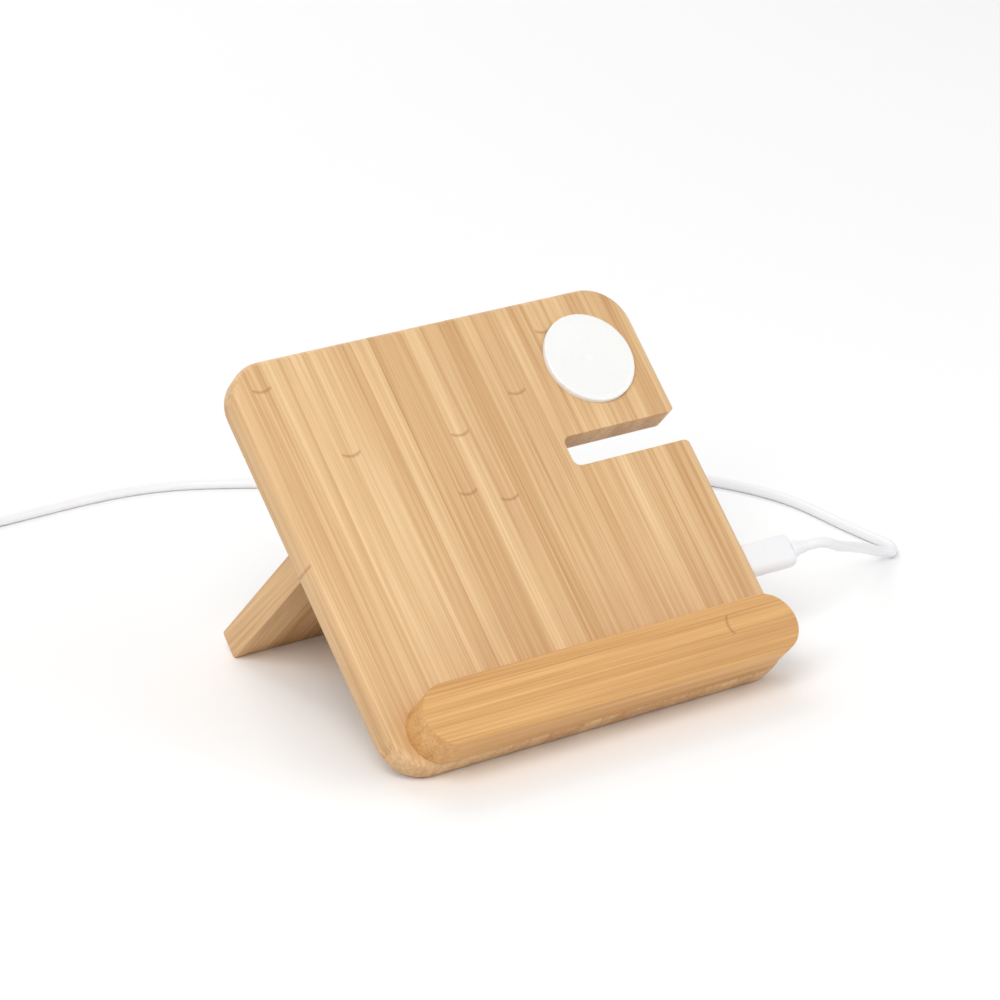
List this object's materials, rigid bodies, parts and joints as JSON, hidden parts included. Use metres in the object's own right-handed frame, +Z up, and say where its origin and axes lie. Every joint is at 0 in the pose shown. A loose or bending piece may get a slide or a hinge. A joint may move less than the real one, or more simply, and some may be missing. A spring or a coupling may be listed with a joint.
{
  "type": "charging stand",
  "caption": "Bamboo charging stand with a leaning board, ledge bar, strap slot, round watch puck, fold-out rear leg and a coiled supply cable.",
  "frame": {"origin": "on the table, midway between the front of the ledge bar and the back of the open leg, and midway across the board", "axes": "+X to the right across the stand, +Y from the front to the back, +Z up"},
  "size_m": [0.3282, 0.2998, 0.0977],
  "materials": {
    "bamboo": "satin laminated bamboo",
    "dowel_wood": "plain beech",
    "white_plastic": "fine matt",
    "puck_plastic": "semi-gloss",
    "steel": "nickel plated",
    "pin_steel": "bright",
    "socket_steel": "bright",
    "plug_steel": "bright",
    "copper": "enamelled wire",
    "ferrite": "matt sintered",
    "magnet": "nickel plated",
    "circuit_green": "solder mask",
    "black_chips": "moulded",
    "black_plastic": "moulded",
    "red_lead": "insulated wire",
    "black_lead": "insulated wire",
    "cable_plastic": "smooth moulded",
    "cable_jacket": "smooth",
    "tie_fabric": "hook-and-loop tape",
    "tongue_plastic": "moulded"
  },
  "bodies": {
    "stand": {"front_board": "bamboo", "ledge_bar": "bamboo", "ledge_dowels": "dowel_wood", "rear_cover": "white_plastic", "cover_screws": "steel", "phone_coil": "copper", "phone_ferrite": "ferrite", "phone_coil_leads": "red_lead", "earbud_coil": "copper", "earbud_ferrite": "ferrite", "watch_puck": "puck_plastic", "watch_coil": "copper", "watch_ferrite": "ferrite", "watch_magnet": "magnet", "watch_coil_leads": "black_lead", "circuit_board": "circuit_green", "circuit_parts": "black_chips", "circuit_screws": "steel", "usb_socket": "socket_steel", "usb_tongue": "black_plastic", "left_hinge_board_leaf": "steel", "left_hinge_pin": "pin_steel", "right_hinge_board_leaf": "steel", "right_hinge_pin": "pin_steel", "hinge_board_screws": "steel", "plug_shell": "plug_steel", "plug_body": "cable_plastic", "plug_strain_relief": "cable_plastic", "cord_run": "cable_jacket", "cord_coil": "cable_jacket", "coil_tie": "tie_fabric", "supply_strain_relief": "cable_plastic", "supply_plug_body": "cable_plastic", "supply_plug_shell": "plug_steel", "supply_plug_tongue": "tongue_plastic"},
    "leg": {"support_leg": "bamboo", "left_hinge_leg_leaf": "steel", "right_hinge_leg_leaf": "steel", "hinge_leg_screws": "steel"}
  },
  "joints": [
    {"name": "leg_fold", "type": "hinge", "parent": "stand", "child": "leg", "pos_m": [0, 0.00513, 0.04868], "axis": [-1, 0, 0], "range_deg": [0, 91.5]}
  ]
}
